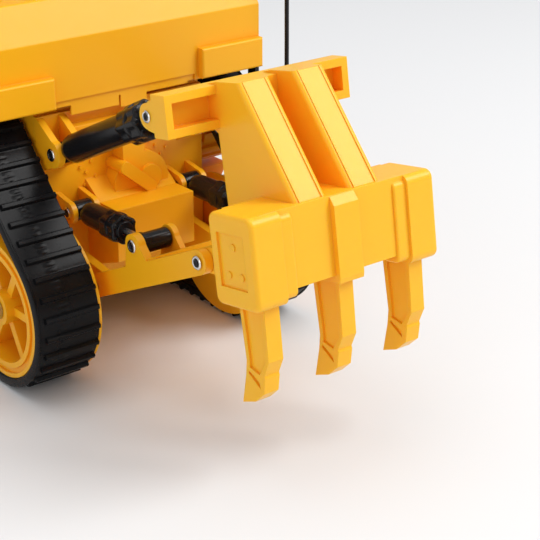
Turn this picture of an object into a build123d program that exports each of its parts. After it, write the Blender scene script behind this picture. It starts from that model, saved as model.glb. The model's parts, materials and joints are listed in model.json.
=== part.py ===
"""Toy crawler bulldozer with an elevated-sprocket track, front blade and three-shank rear ripper.

Frame: +X forward, +Y the machine's left, +Z up, origin on the ground under the middle of the bounding box.
Every outline across the machine is given as (x, z) points, millimetres.
"""
from build123d import *
import os
from math import atan2, cos, hypot, radians, sin

os.makedirs("parts", exist_ok=True)

# ---- Overall sizes ----
rear_reach = 158.2          # housing's rear face back to the ripper's rear edge
wheelbase = 188.0
idler_set = 6.9             # rear idler axis behind the housing's rear face
blade_ahead = 81.8          # front idler axis forward to the blade's corners
front_reach = wheelbase - idler_set + blade_ahead
x_house = (rear_reach - front_reach) / 2
wall = 2.2                  # moulded wall
slip = 0.3                  # gap between pieces that move past each other
running = 0.05              # radial clearance of a pin or shaft in its hole
sway = 0.9                  # radial clearance of an eye at an opened linkage pivot

# ---- Tracks and wheels ----
track_inner = 47.8          # |y| of the belt's inner edge
track_width = 31.1
track_outer = track_inner + track_width
house_half = track_outer - 2.2   # half width of the housing over the tracks
belt_thick = 4.1
grouser_height = 1.1
grouser_count = 69
grouser_thick = 2.0
idler_belt_radius = 37.0    # belt's outer radius round the idlers
sprocket_belt_radius = 26.0
sprocket_rise = 53.9        # sprocket axis above the idler axes
sprocket_ahead = 36.8       # sprocket axis ahead of the rear idler's
axle_radius = 2.5
shaft_radius = 3.0
idler_z = idler_belt_radius + grouser_height
rear_idler = (x_house - idler_set, idler_z)
front_idler = (rear_idler[0] + wheelbase, idler_z)
sprocket = (rear_idler[0] + sprocket_ahead, idler_z + sprocket_rise)
idler_radius = idler_belt_radius - belt_thick - slip
sprocket_radius = sprocket_belt_radius - belt_thick - slip

# ---- Heights of the body, above the belt's top ----
house_base = sprocket[1] + sprocket_belt_radius + 4.0    # bottom edge of the housing
crease_z = house_base + 30.9    # where the upright rear face starts to lean forward
deck_z = crease_z + 16.6        # rear deck
fender_z = house_base + 19.0    # fender deck, which carries the cab
hood_top = house_base + 36.0
cab_top = fender_z + 64.0

# ---- Chassis ----
tub_gap = 2.2               # between the tub's side and the belt
tub_half = track_inner - tub_gap
tub_base = 22.0
tub_rear = x_house + 8.4
tub_step = x_house + 120.0  # where the tub's open top steps down under the hood
tub_front = front_idler[0] + 16.9
tub_high = house_base + 4.0
tub_low = house_base - 26.0
cover_thick = 2.5           # rear cover plate
cover_face = tub_rear - cover_thick
cover_top = house_base - 4.0

# ---- Drive train ----
module = 1.0
gear_teeth = 36
pinion_teeth = 10
gear_width = 6.0
motor_radius = 11.0
motor_length = 24.0
gear_set = 12.6             # drive gear's inner face inside the tub's outer side
gear_inner = tub_half - gear_set
centre_gap = 0.25           # extra centre distance for backlash
mesh_distance = module * (gear_teeth + pinion_teeth) / 2 + centre_gap
pinion = (sprocket[0] + mesh_distance, sprocket[1])

# ---- Ripper, in its own plane: a rearward, b upward, from the beam's lower rear edge ----
ripper_pitch = 9.0
ripper_z = 83.3
beam_depth = 28.0
shank_spacing = 38.0
shank_thick = 7.4
cap_over = 9.4              # end cap past the outer shank's middle plane
beam_half = shank_spacing + cap_over
ear = 3.4                   # thickness of a lug ear
thin_ear = 2.6              # lift lug on the chassis and the blade's own lug
link_ear = 2.8              # link frame's inner lift ear
inner_ear_thick = 2.8       # crossbar's inner eye plate
eye_round = 5.4             # round of the lugs that carry a lift or ripper pin
pin_radius = 1.9
head_radius = 3.0
head_thick = 0.9
ripper_origin = (x_house - rear_reach, ripper_z)
ripper_plane = Plane(
    origin=(ripper_origin[0], 0, ripper_origin[1]),
    x_dir=(-cos(radians(ripper_pitch)), 0, sin(radians(ripper_pitch))),
    z_dir=(0, 1, 0),
)


def from_ripper(a, b):
    """World (x, z) of a point given in the ripper's own plane."""
    tilt = radians(ripper_pitch)
    return (
        ripper_origin[0] - a * cos(tilt) + b * sin(tilt),
        ripper_origin[1] + a * sin(tilt) + b * cos(tilt),
    )


tilt_lug = (x_house - 6.1, 103.6)          # tilt cylinder on the chassis
tilt_eye = from_ripper(-61.9, 68.8)        # tilt cylinder on the ripper
ripper_pivot = from_ripper(-50.5, 7.8)     # ripper on the link frame
link_pivot = (                             # link frame on the chassis: a parallelogram with the tilt cylinders
    ripper_pivot[0] - tilt_eye[0] + tilt_lug[0],
    ripper_pivot[1] - tilt_eye[1] + tilt_lug[1],
)
lift_lug = (x_house - 4.1, 73.5)           # lift cylinder on the chassis
lift_eye = (x_house - 58.6, 74.7)          # lift cylinder on the link frame
lift_ear_gap = 9.6          # clear width between the ears of a chassis lug
tilt_ear_gap = 8.2
tilt_y = tub_half - ear - tilt_ear_gap / 2
tilt_half = tilt_ear_gap / 2 - 0.2         # half width of the tilt cylinder's eyes
tilt_eye_room = (0.4, 2.0)                 # beside the tilt rod's eye, at its inner and outer face
inner_ear = (tilt_y - tilt_half - tilt_eye_room[0] - inner_ear_thick, tilt_y - tilt_half - tilt_eye_room[0])
outer_ear = (tilt_y + tilt_half + tilt_eye_room[1], tilt_y + tilt_half + tilt_eye_room[1] + ear)
crossbar_half = outer_ear[1]
arm_inset = 6.8                            # link arm's outer face inside the tub's side
arm_outer = tub_half - arm_inset
arm_thick = 3.8
lift_y = arm_outer - 8.4
link_lug_thick = 4.2
link_lug_y = (arm_outer - arm_thick - slip - link_lug_thick, arm_outer - arm_thick - slip)
lug_round = 5.6

# ---- Blade ----
blade_half = 118.0
blade_height = 92.0
blade_clear = 2.0                          # cutting edge above the ground
blade_front = x_house + front_reach
blade_back = blade_front - 26.0
arm_y = track_outer + 2.3                  # |y| of the push arms' inner faces
push_thick = 7.0
trunnion = (x_house + 86.0, 34.0)
trunnion_radius = 4.0
hood_half = 34.0
blade_cylinder_y = hood_half + 7.0
blade_lug = (tub_front - 15.0, house_base + 12.0)    # blade cylinder on the hood
blade_eye = (blade_back - 7.9, 62.0)       # blade cylinder on the blade

SIDES = ((1, "left"), (-1, "right"))


def extruded(outline, y_from, y_to, mode):
    """Carries a sketch drawn at the lower y across to the higher one."""
    extrude(outline, amount=abs(y_to - y_from), dir=(0, 1, 0), mode=mode)


def slab(points, y_from, y_to, mode=Mode.ADD, corner=0):
    """A flat outline of (x, z) points between two y values, its corners rounded if asked."""
    with BuildSketch(Plane.XZ.offset(-min(y_from, y_to))) as outline:
        Polygon(*points, align=None)
        if corner:
            fillet(outline.vertices(), radius=corner)
    extruded(outline.sketch, y_from, y_to, mode)


def disc(centre, radius, y_from, y_to, mode=Mode.ADD):
    """A round boss or hole along Y about an (x, z) centre."""
    with BuildSketch(Plane.XZ.offset(-min(y_from, y_to))) as outline:
        with Locations(centre):
            Circle(radius)
    extruded(outline.sketch, y_from, y_to, mode)


def block(x, y, z, mode=Mode.ADD):
    """A box between (low, high) limits."""
    with Locations(((x[0] + x[1]) / 2, (y[0] + y[1]) / 2, (z[0] + z[1]) / 2)):
        Box(x[1] - x[0], y[1] - y[0], z[1] - z[0], mode=mode)


def lug_plate(root_top, root_bottom, eye, y_from, y_to, radius=lug_round):
    """A lug ear: a wedge from two root points to a round end about its eye."""
    along = atan2(eye[1] - (root_top[1] + root_bottom[1]) / 2, eye[0] - (root_top[0] + root_bottom[0]) / 2)
    across = (-sin(along) * radius, cos(along) * radius)
    upper = (eye[0] + across[0], eye[1] + across[1])
    lower = (eye[0] - across[0], eye[1] - across[1])
    upper_gap = hypot(root_top[0] - upper[0], root_top[1] - upper[1])
    lower_gap = hypot(root_top[0] - lower[0], root_top[1] - lower[1])
    if upper_gap > lower_gap:
        upper, lower = lower, upper
    slab((root_top, upper, lower, root_bottom), y_from, y_to)
    disc(eye, radius, y_from, y_to)


def ripper_slab(points, y_from, y_to, mode=Mode.ADD):
    """An outline in the ripper's own plane between two y values."""
    with BuildSketch(ripper_plane.offset(min(y_from, y_to))) as outline:
        Polygon(*points, align=None)
    extruded(outline.sketch, y_from, y_to, mode)


def pair(side, low, high):
    """The y limits of a piece on one side, given for the left one."""
    return (side * low, side * high) if side > 0 else (side * high, side * low)


def save(builder, name):
    """Labels a finished piece and writes it."""
    builder.part.label = name
    export_step(builder.part, f"parts/{name}.step")


# ---- Tracks ----
def track_loop(inset):
    """The belt's side outline: the hull of the circles it runs round."""
    with BuildSketch(Plane.XZ) as outline:
        with Locations(rear_idler, front_idler):
            Circle(idler_belt_radius - inset)
        with Locations(sprocket):
            Circle(sprocket_belt_radius - inset)
        make_hull()
    return outline.sketch


belt_outside = track_loop(0)
belt_inside = track_loop(belt_thick)


def track_belt(side):
    """A moulded belt with a bar across it at every pitch."""
    low, high = pair(side, track_inner, track_outer)
    path = belt_outside.face().outer_wire()
    spots = []
    for n in range(grouser_count):
        spot = path.position_at((n + 0.5) / grouser_count)
        run = path.tangent_at((n + 0.5) / grouser_count)
        spots.append(Plane(origin=(spot.X, (low + high) / 2, spot.Z), x_dir=run, z_dir=(0, 1, 0)))
    with BuildPart() as belt:
        extrude(Pos(0, low, 0) * belt_outside, amount=high - low, dir=(0, 1, 0))
        with Locations(*spots):
            Box(grouser_thick, 2 * grouser_height, track_width)
        extrude(Pos(0, low, 0) * belt_inside, amount=high - low, dir=(0, 1, 0), mode=Mode.SUBTRACT)
    return belt


for side, word in SIDES:
    save(track_belt(side), f"track_{word}")


# ---- Idlers, sprockets, gears ----
wheel_face = track_outer - 0.5
flange_inner = tub_half + 0.5
flange_outer = track_inner - slip
rim_thick = 7.0
flange_rise = 3.6           # inner flange above the rim
hub_radius = 8.0
web_thick = 5.0
spokes = 6


def wheel_plane(centre, side, y):
    """A plane square to the axle whose normal points away from the machine."""
    return Plane(origin=(centre[0], side * y, centre[1]), x_dir=(1, 0, 0), z_dir=(0, side, 0))


def idler(side, centre):
    """A dished idler: flange, rim, web with spokes, and a hub bored for its axle."""
    width = wheel_face - flange_inner
    dish = width - web_thick - 6
    with BuildPart() as wheel:
        with BuildSketch(wheel_plane(centre, side, flange_inner)):
            Circle(idler_radius + flange_rise)
        extrude(amount=flange_outer - flange_inner)
        with BuildSketch(wheel_plane(centre, side, flange_inner)):
            Circle(idler_radius)
        extrude(amount=width)
        with BuildSketch(wheel_plane(centre, side, wheel_face)):
            Circle(idler_radius - rim_thick)
            Circle(hub_radius, mode=Mode.SUBTRACT)
        extrude(amount=-dish, mode=Mode.SUBTRACT)
        with BuildSketch(wheel_plane(centre, side, wheel_face - dish)):
            with PolarLocations((idler_radius - rim_thick + hub_radius) / 2, spokes):
                Rectangle(idler_radius - rim_thick - hub_radius + 2, 4)
        extrude(amount=dish - 4)
        with BuildSketch(wheel_plane(centre, side, wheel_face)):
            Circle(idler_radius - 2)
            Circle(idler_radius - 4.5, mode=Mode.SUBTRACT)
        extrude(amount=-1.2, mode=Mode.SUBTRACT)
        with BuildSketch(wheel_plane(centre, side, flange_inner)):
            Circle(axle_radius + running)
        extrude(amount=width, mode=Mode.SUBTRACT)
    return wheel


def toothed(teeth, plane, depth, bore, turn):
    """A spur gear with straight-flanked teeth, its first tooth turned by an angle."""
    pitch_radius = module * teeth / 2
    root = pitch_radius - 1.2 * module
    tip = pitch_radius + 0.85 * module
    base_half = 0.95 * module
    tip_half = 0.32 * module
    with BuildPart() as gear:
        with BuildSketch(plane):
            Circle(root)
            with PolarLocations(0, teeth, start_angle=turn):
                Polygon(
                    (root - 0.3, -base_half),
                    (tip, -tip_half),
                    (tip, tip_half),
                    (root - 0.3, base_half),
                    align=None,
                )
            if bore:
                Circle(bore, mode=Mode.SUBTRACT)
        extrude(amount=depth)
    return gear


sprocket_teeth = 16
sprocket_face = track_outer - 1.5
shaft_end = sprocket_face + 1.0
gear_outer = gear_inner + gear_width
for side, word in SIDES:
    save(idler(side, rear_idler), f"rear_idler_{word}")
    save(idler(side, front_idler), f"front_idler_{word}")

    with BuildPart() as sprocket_wheel:
        with BuildSketch(wheel_plane(sprocket, side, track_inner + 1.5)):
            Circle(sprocket_radius)
            with PolarLocations(sprocket_radius, sprocket_teeth):
                Rectangle(4, 3.6, mode=Mode.SUBTRACT)
        extrude(amount=sprocket_face - track_inner - 1.5)
        with BuildSketch(wheel_plane(sprocket, side, sprocket_face)):
            Circle(sprocket_radius - 5)
            Circle(hub_radius, mode=Mode.SUBTRACT)
        extrude(amount=-14, mode=Mode.SUBTRACT)
        with BuildSketch(wheel_plane(sprocket, side, sprocket_face - 14)):
            with PolarLocations(12, 8):
                Circle(1.6)
        extrude(amount=1.5)
        with BuildSketch(wheel_plane(sprocket, side, track_inner + 1.5)):
            Circle(shaft_radius)
        extrude(amount=track_width, mode=Mode.SUBTRACT)
    save(sprocket_wheel, f"sprocket_{word}")

    toothed_disc = toothed(gear_teeth, wheel_plane(sprocket, side, gear_inner), gear_width, 0, 0)
    with BuildPart() as drive_gear:
        add(toothed_disc.part)
        with BuildSketch(wheel_plane(sprocket, side, gear_outer)):
            Circle(shaft_radius)
        extrude(amount=shaft_end - gear_outer)
        with BuildSketch(wheel_plane(sprocket, side, gear_inner)):
            Circle(shaft_radius)
        extrude(amount=-5)
    save(drive_gear, f"drive_gear_{word}")

    half_step = 180 / pinion_teeth
    motor_pinion = toothed(
        pinion_teeth, wheel_plane(pinion, side, gear_inner), gear_width, 1.0 + running, half_step
    )
    save(motor_pinion, f"motor_pinion_{word}")

motor_face = gear_inner - 1.0
with BuildPart() as drive_motors:
    for side, _ in SIDES:
        disc(pinion, motor_radius, *pair(side, motor_face - motor_length, motor_face - 1.5))
        disc(pinion, 3.0, *pair(side, motor_face - 1.5, motor_face))
        disc(pinion, 1.0, *pair(side, motor_face, gear_outer - 0.4))
save(drive_motors, "drive_motors")

# ---- Chassis tub ----
tub_outline = (
    (tub_rear, tub_base + 8),
    (tub_rear + 8, tub_base),
    (tub_front - 10, tub_base),
    (tub_front, tub_base + 12),
    (tub_front, tub_low),
    (tub_step, tub_low),
    (tub_step, tub_high),
    (tub_rear, tub_high),
)
tub_hollow = (
    (tub_rear + wall, tub_base + 8 + wall / 2),
    (tub_rear + 8 + wall / 2, tub_base + wall),
    (tub_front - 10 - wall / 2, tub_base + wall),
    (tub_front - wall, tub_base + 12 + wall / 2),
    (tub_front - wall, tub_low + 1),
    (tub_step - wall, tub_low + 1),
    (tub_step - wall, tub_high + 1),
    (tub_rear + wall, tub_high + 1),
)
battery_x = (x_house + 104.0, x_house + 168.0)
battery_half = 26.0
battery_height = 22.0
door_margin = 4.0
door_x = (battery_x[0] - door_margin, battery_x[1] + door_margin)
door_half = battery_half + door_margin
switch_x = x_house + 88.0
switch_travel = 4.0
switch_slot = (switch_x - 5.0, switch_x + 5.0 + switch_travel)
post_x = (battery_x[0] - 9.0, battery_x[1] + 9.0)
post_y = 34.0
post_radius = 3.2
board_z = 68.0
board_thick = 1.6
seat_z = tub_base + wall
axle_grip = 5.4             # length of each idler axle held in the chassis
screw_radius = 1.2
screw_head = 2.4
screw_length = 7.0
post_spots = [(x, side * post_y) for x in post_x for side, _ in SIDES]
with BuildPart() as chassis_tub:
    slab(tub_outline, -tub_half, tub_half)
    slab(tub_hollow, -tub_half + wall, tub_half - wall, Mode.SUBTRACT)
    block(door_x, (-door_half, door_half), (tub_base - 1, seat_z + 1), Mode.SUBTRACT)
    block(switch_slot, (-3.2, 3.2), (tub_base - 1, seat_z + 1), Mode.SUBTRACT)
    disc(sprocket, shaft_radius + running, -tub_half - 1, tub_half + 1, Mode.SUBTRACT)
    for spot in post_spots:
        with Locations((spot[0], spot[1], (seat_z + board_z) / 2)):
            Cylinder(post_radius, board_z - seat_z)
        with Locations((spot[0], spot[1], board_z)):
            Cylinder(screw_radius, 2 * screw_length, mode=Mode.SUBTRACT)
    for side, _ in SIDES:
        # Cradle that carries the motor and the inner end of the shaft
        near, far = pair(side, gear_inner - 4.5, gear_inner - 1.5)
        block((sprocket[0] - 8, sprocket[0] + 8), (near, far), (seat_z, sprocket[1] + 8))
        disc(sprocket, shaft_radius + running, near - 1, far + 1, Mode.SUBTRACT)
        near, far = pair(side, motor_face - motor_length, motor_face - 2)
        block((pinion[0] - 7, pinion[0] + 7), (near, far), (seat_z, pinion[1]))
        disc(pinion, motor_radius + running, near - 1, far + 1, Mode.SUBTRACT)
        disc(front_idler, 6, *pair(side, tub_half - axle_grip, tub_half))
        disc(front_idler, axle_radius, *pair(side, tub_half - axle_grip - 1, tub_half + 1), Mode.SUBTRACT)
save(chassis_tub, "chassis_tub")

with BuildPart() as battery_door:
    block(
        (door_x[0] + slip, door_x[1] - slip),
        (-door_half + slip, door_half - slip),
        (tub_base, seat_z),
    )
    for n in range(5):
        x = door_x[0] + 10 + 4 * n
        block((x, x + 1.6), (-12, 12), (tub_base - 0.1, tub_base + 0.7), Mode.SUBTRACT)
save(battery_door, "battery_door")

with BuildPart() as battery_pack:
    block(battery_x, (-battery_half, battery_half), (seat_z, seat_z + battery_height))
    fillet(battery_pack.edges().filter_by(Axis.Y), radius=6)
save(battery_pack, "battery_pack")

board_x = (post_x[0] - 6, post_x[1] + 6)
with BuildPart() as circuit_board:
    block(board_x, (-post_y - 5, post_y + 5), (board_z, board_z + board_thick))
    top = board_z + board_thick
    mid = (board_x[0] + board_x[1]) / 2
    block((mid - 8, mid + 6), (-8, 6), (top, top + 2))
    block((mid + 14, mid + 26), (10, 22), (top, top + 5))
    block((mid - 34, mid - 26), (-22, 10), (top, top + 8))
    for n in range(3):
        with Locations((mid - 16 + 9 * n, 24, top + 5)):
            Cylinder(3, 10)
    for spot in post_spots:
        with Locations((spot[0], spot[1], board_z)):
            Cylinder(screw_radius + slip / 2, 4 * board_thick, mode=Mode.SUBTRACT)
save(circuit_board, "circuit_board")

with BuildPart() as switch_knob:
    block((switch_x - 4.6, switch_x + 4.6), (-2.9, 2.9), (tub_base - 1.2, seat_z + slip))
    block((switch_x - 6.5, switch_x + 6.5), (-5, 5), (seat_z + slip, seat_z + slip + 2))
save(switch_knob, "switch_knob")

# ---- Rear cover: plate, case, post, shelf and all the lugs ----
case_half = 21.5
case_depth = 26.0
case_top = 75.3
case_base = 50.0
dome_radius = 17.0
rivets = ((18, 92), (21, 87), (16, 84), (22, 81), (17, 78), (20, 72), (15, 95), (24, 90))
with BuildPart() as rear_cover:
    block((cover_face, tub_rear), (-tub_half, tub_half), (tub_base + 8, cover_top))
    case_outline = (
        (cover_face + 1, case_top + 9),
        (cover_face - 12, case_top),
        (cover_face - case_depth, case_top),
        (cover_face - case_depth, case_base),
        (cover_face + 1, case_base - 10),
    )
    slab(case_outline, -case_half, case_half)
    # Dished seat of the winch dome, with its slanted cover bar
    with BuildSketch(Plane.YZ.offset(cover_face - 9)) as dome:
        with Locations((-4, case_top + 4)):
            Circle(dome_radius - 2)
    extrude(dome.sketch, amount=9)
    with BuildSketch(Plane.YZ.offset(cover_face - 11)) as boss:
        with Locations((-8, case_top + 6)):
            Circle(6)
    extrude(boss.sketch, amount=11)
    with BuildSketch(Plane.YZ.offset(cover_face - 13)) as bar:
        with Locations(Location((0, case_top + 8, 0), (0, 0, 40))):
            SlotOverall(24, 6)
    extrude(bar.sketch, amount=13)
    block((cover_face - 9, cover_face + 1), (-6, 6), (case_top + 10, cover_top - 6))
    block((cover_face - 6, cover_face + 1), (-16, 32), (cover_top - 9, cover_top - 6))
    with BuildSketch(Plane.YZ.offset(cover_face - 0.8)) as dots:
        for side, _ in SIDES:
            with Locations(*[(side * y, z) for y, z in rivets]):
                Circle(0.9)
    extrude(dots.sketch, amount=1.2)
    block((cover_face - 1, cover_face + 1), (-18, -14), (case_base, case_base + 4), Mode.SUBTRACT)
    for side, _ in SIDES:
        for low, high in (
            (tub_half - ear, tub_half),
            (tub_half - 2 * ear - tilt_ear_gap, tub_half - ear - tilt_ear_gap),
        ):
            lug_plate(
                (cover_face + 1, cover_top), (cover_face + 1, tilt_lug[1] - 12), tilt_lug,
                *pair(side, low, high), radius=6.2,
            )
        for low, high in (
            (lift_y + lift_ear_gap / 2, lift_y + lift_ear_gap / 2 + thin_ear),
            (lift_y - lift_ear_gap / 2 - thin_ear, lift_y - lift_ear_gap / 2),
        ):
            lug_plate(
                (cover_face + 1, lift_lug[1] + 7), (cover_face + 1, lift_lug[1] - 9), lift_lug,
                *pair(side, low, high), radius=5.2,
            )
        lug_plate(
            (cover_face + 1, link_pivot[1] + 10), (cover_face + 1, link_pivot[1] - 9), link_pivot,
            *pair(side, *link_lug_y),
        )
        for centre in (tilt_lug, lift_lug, link_pivot):
            disc(centre, pin_radius, *pair(side, 5, tub_half + 1), Mode.SUBTRACT)
        lug_plate(
            (cover_face + 1, idler_z + 9), (cover_face + 1, idler_z - 8), rear_idler,
            *pair(side, tub_half - axle_grip, tub_half), radius=6.0,
        )
        disc(rear_idler, axle_radius, *pair(side, tub_half - axle_grip - 1, tub_half + 1), Mode.SUBTRACT)
save(rear_cover, "rear_cover")

with BuildPart() as rear_lug_pins:
    for side, _ in SIDES:
        inner = tub_half - 2 * ear - tilt_ear_gap
        disc(tilt_lug, pin_radius, *pair(side, inner, tub_half))
        disc(tilt_lug, head_radius, *pair(side, tub_half, tub_half + head_thick))
        inner = lift_y - lift_ear_gap / 2 - thin_ear
        outer = lift_y + lift_ear_gap / 2 + thin_ear
        disc(lift_lug, pin_radius, *pair(side, inner, outer))
        disc(lift_lug, head_radius, *pair(side, outer, outer + head_thick))
        disc(link_pivot, pin_radius, *pair(side, link_lug_y[0], arm_outer + slip))
        disc(link_pivot, head_radius, *pair(side, arm_outer + slip, arm_outer + slip + head_thick))
save(rear_lug_pins, "rear_lug_pins")

# ---- Housing ----
slope_run = 9.6             # how far the leaning rear face comes forward
deck_end = x_house + 46.0
fender_end = x_house + 124.0
pad_thick = 3.8
pad_inner = 40.2
pad_z = (house_base + 0.7, house_base + 15.2)
rib_thick = 2.0
house_outline = (
    (x_house, house_base),
    (x_house, crease_z),
    (x_house + slope_run, deck_z),
    (deck_end, deck_z),
    (deck_end + 5, fender_z),
    (fender_end, fender_z),
    (fender_end, house_base),
)
house_hollow = (
    (x_house + wall, house_base - 1),
    (x_house + wall, crease_z - wall / 3),
    (x_house + slope_run + wall / 2, deck_z - wall),
    (deck_end - wall, deck_z - wall),
    (deck_end + 5 - wall, fender_z - wall),
    (fender_end - wall, fender_z - wall),
    (fender_end - wall, house_base - 1),
)
with BuildPart() as body_shell:
    slab(house_outline, -house_half, house_half)
    upright = body_shell.edges().filter_by(Axis.Y).group_by(Axis.Z)
    fillet(upright[-1] + upright[-2], radius=1.6)
    slab(house_hollow, -house_half + wall, house_half - wall, Mode.SUBTRACT)
    # Lip along the bottom of the rear face, then the skirt tabs below it
    lip_half = pad_inner - 2
    block((x_house - 1, x_house + 1), (-lip_half, lip_half), (house_base - 1, house_base + 3), Mode.SUBTRACT)
    block((x_house + 1, x_house + wall), (4.4, 30), (house_base - 4.6, house_base + 1))
    block((x_house + 1, x_house + wall), (-11, 3.4), (house_base - 5.8, house_base + 1))
    block((x_house + 1, x_house + wall), (-34.5, 30), (house_base - 1.1, house_base + 1))
    block((x_house, x_house + wall + 1), (3.4, 4.4), (house_base - 6, house_base), Mode.SUBTRACT)
    for side, _ in SIDES:
        with BuildPart(mode=Mode.PRIVATE) as pad:
            block((x_house - pad_thick, x_house + 1), pair(side, pad_inner, house_half - 0.2), pad_z)
            fillet(pad.faces().sort_by(Axis.X)[0].edges(), radius=1.0)
        add(pad.part)
    for x in (tub_rear + 6, tub_step - 8):
        block((x, x + rib_thick), (-house_half + 1, house_half - 1), (tub_high, fender_z - 1))
save(body_shell, "body_shell")

# ---- Hood and grille ----
hood_x = (fender_end + slip, tub_front)
with BuildPart() as hood_shell:
    with BuildSketch(Plane.YZ.offset(hood_x[0])) as hood_outline:
        Polygon(
            (-hood_half, tub_low),
            (-hood_half, hood_top - 8),
            (-hood_half + 10, hood_top),
            (hood_half - 10, hood_top),
            (hood_half, hood_top - 8),
            (hood_half, tub_low),
            align=None,
        )
    extrude(hood_outline.sketch, amount=hood_x[1] - hood_x[0])
    fillet(hood_shell.edges().filter_by(Axis.X).group_by(Axis.Z)[1:], radius=2.5)
    block(hood_x, (-tub_half, tub_half), (tub_low, tub_low + 3))
    with BuildSketch(Plane.YZ.offset(hood_x[0] - 1)) as hood_inside:
        Polygon(
            (-hood_half + wall, tub_low - 1),
            (-hood_half + wall, hood_top - 9),
            (-hood_half + 10.8, hood_top - wall),
            (hood_half - 10.8, hood_top - wall),
            (hood_half - wall, hood_top - 9),
            (hood_half - wall, tub_low - 1),
            align=None,
        )
    extrude(hood_inside.sketch, amount=hood_x[1] - hood_x[0] + 2, mode=Mode.SUBTRACT)
    for side, _ in SIDES:
        # Side door panels, louvres and the blade cylinder's trunnion block
        near, far = pair(side, hood_half - 0.5, hood_half + 0.8)
        for x in (hood_x[0] + 5, hood_x[0] + 30):
            block((x, x + 21), (near, far), (tub_low + 10, hood_top - 22))
        near, far = pair(side, hood_half + 0.2, hood_half + 1.6)
        for n in range(6):
            z = tub_low + 14 + 4 * n
            block((hood_x[0] + 8, hood_x[0] + 23), (near, far), (z, z + 1.6))
        near, far = pair(side, hood_half - 0.5, blade_cylinder_y - 4.6)
        disc(blade_lug, 6.5, near, far)
        disc(blade_lug, pin_radius, *pair(side, hood_half - 3, blade_cylinder_y), Mode.SUBTRACT)
    with Locations((hood_x[0] + 26, 12, hood_top)):
        Cylinder(3.0, 12, mode=Mode.SUBTRACT)
save(hood_shell, "hood_shell")

grille_thick = 3.4
with BuildPart() as grille:
    block((tub_front, tub_front + grille_thick), (-hood_half, hood_half), (tub_low - 6, hood_top - 4))
    fillet(grille.edges().filter_by(Axis.X), radius=3)
    bars = 11
    pitch = (hood_top - tub_low - 12) / bars
    for n in range(bars):
        z = tub_low + 4 + pitch * n
        for side, _ in SIDES:
            near, far = pair(side, 1.5, hood_half - 4)
            block(
                (tub_front - 1, tub_front + grille_thick + 1), (near, far), (z, z + pitch * 0.55), Mode.SUBTRACT
            )
save(grille, "grille")

with BuildPart() as exhaust_stack:
    foot = hood_top - wall
    spot = (hood_x[0] + 26, 12)
    for radius, low, high in (
        (2.8, foot, hood_top),
        (6.5, hood_top, hood_top + 3),
        (5.0, hood_top + 3, hood_top + 24),
        (2.8, hood_top + 24, hood_top + 44),
    ):
        with Locations((spot[0], spot[1], (low + high) / 2)):
            Cylinder(radius, high - low)
    with Locations((spot[0], spot[1], hood_top + 38)):
        Cylinder(2.0, 14, mode=Mode.SUBTRACT)
save(exhaust_stack, "exhaust_stack")

# ---- Cab ----
cab_x = (x_house + 56.0, x_house + 112.0)
cab_half = 38.0
post = 4.0
sill_z = fender_z + 26
pane = 1.2
with BuildPart() as cab_frame:
    block(cab_x, (-cab_half, cab_half), (fender_z, cab_top))
    fillet(cab_frame.edges().filter_by(Axis.Z), radius=3)
    block(
        (cab_x[0] + wall, cab_x[1] - wall), (-cab_half + wall, cab_half - wall), (fender_z - 1, cab_top - wall),
        Mode.SUBTRACT,
    )
    for x in cab_x:
        block(
            (x - 3, x + 3), (-cab_half + post + 2, cab_half - post - 2), (sill_z, cab_top - post), Mode.SUBTRACT
        )
    for low, high in ((cab_x[0] + 8, cab_x[0] + 24), (cab_x[0] + 28, cab_x[1] - 8)):
        block((low, high), (-cab_half - 1, cab_half + 1), (sill_z, cab_top - post), Mode.SUBTRACT)
    for side, _ in SIDES:
        near, far = pair(side, cab_half - 0.5, cab_half + 0.8)
        block((cab_x[0] + 27, cab_x[1] - 7), (near, far), (fender_z + 3, sill_z - 2))
save(cab_frame, "cab_frame")

with BuildPart() as cab_windows:
    for x in (cab_x[0] + wall, cab_x[1] - wall - pane):
        block((x, x + pane), (-cab_half + post, cab_half - post), (sill_z - 2, cab_top - wall))
    for side, _ in SIDES:
        near, far = pair(side, cab_half - wall - pane, cab_half - wall)
        block(
            (cab_x[0] + wall + 2 * pane, cab_x[1] - wall - 2 * pane), (near, far), (sill_z - 2, cab_top - wall)
        )
save(cab_windows, "cab_windows")

roof_lip = 4.0
roof_thick = 7.0
lamp_y = 26.0
lamp_radius = 4.0
lamp_depth = 4.0
roof_x = (cab_x[0] - roof_lip, cab_x[1] + roof_lip + 3)
roof_half = cab_half + roof_lip
lamp_z = cab_top + roof_thick + 4.5
with BuildPart() as cab_roof:
    block(roof_x, (-roof_half, roof_half), (cab_top, cab_top + roof_thick))
    fillet(cab_roof.edges().filter_by(Axis.Z), radius=5)
    fillet(cab_roof.faces().sort_by(Axis.Z)[-1].edges(), radius=2.5)
    for x, way in zip(roof_x, (-1, 1)):
        for side, _ in SIDES:
            low, high = sorted((x - way * 7, x + way * 2))
            near, far = pair(side, lamp_y - 6, lamp_y + 6)
            block((low, high), (near, far), (cab_top + roof_thick - 1, lamp_z + 5.5))
            with Locations(Location((x + way * 2, side * lamp_y, lamp_z), (0, 90, 0))):
                Cylinder(lamp_radius, 2 * lamp_depth, mode=Mode.SUBTRACT)
save(cab_roof, "cab_roof")

with BuildPart() as lamp_lenses:
    for x in roof_x:
        for side, _ in SIDES:
            with Locations(Location((x, side * lamp_y, lamp_z), (0, 90, 0))):
                Cylinder(lamp_radius, lamp_depth)
save(lamp_lenses, "lamp_lenses")

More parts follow.
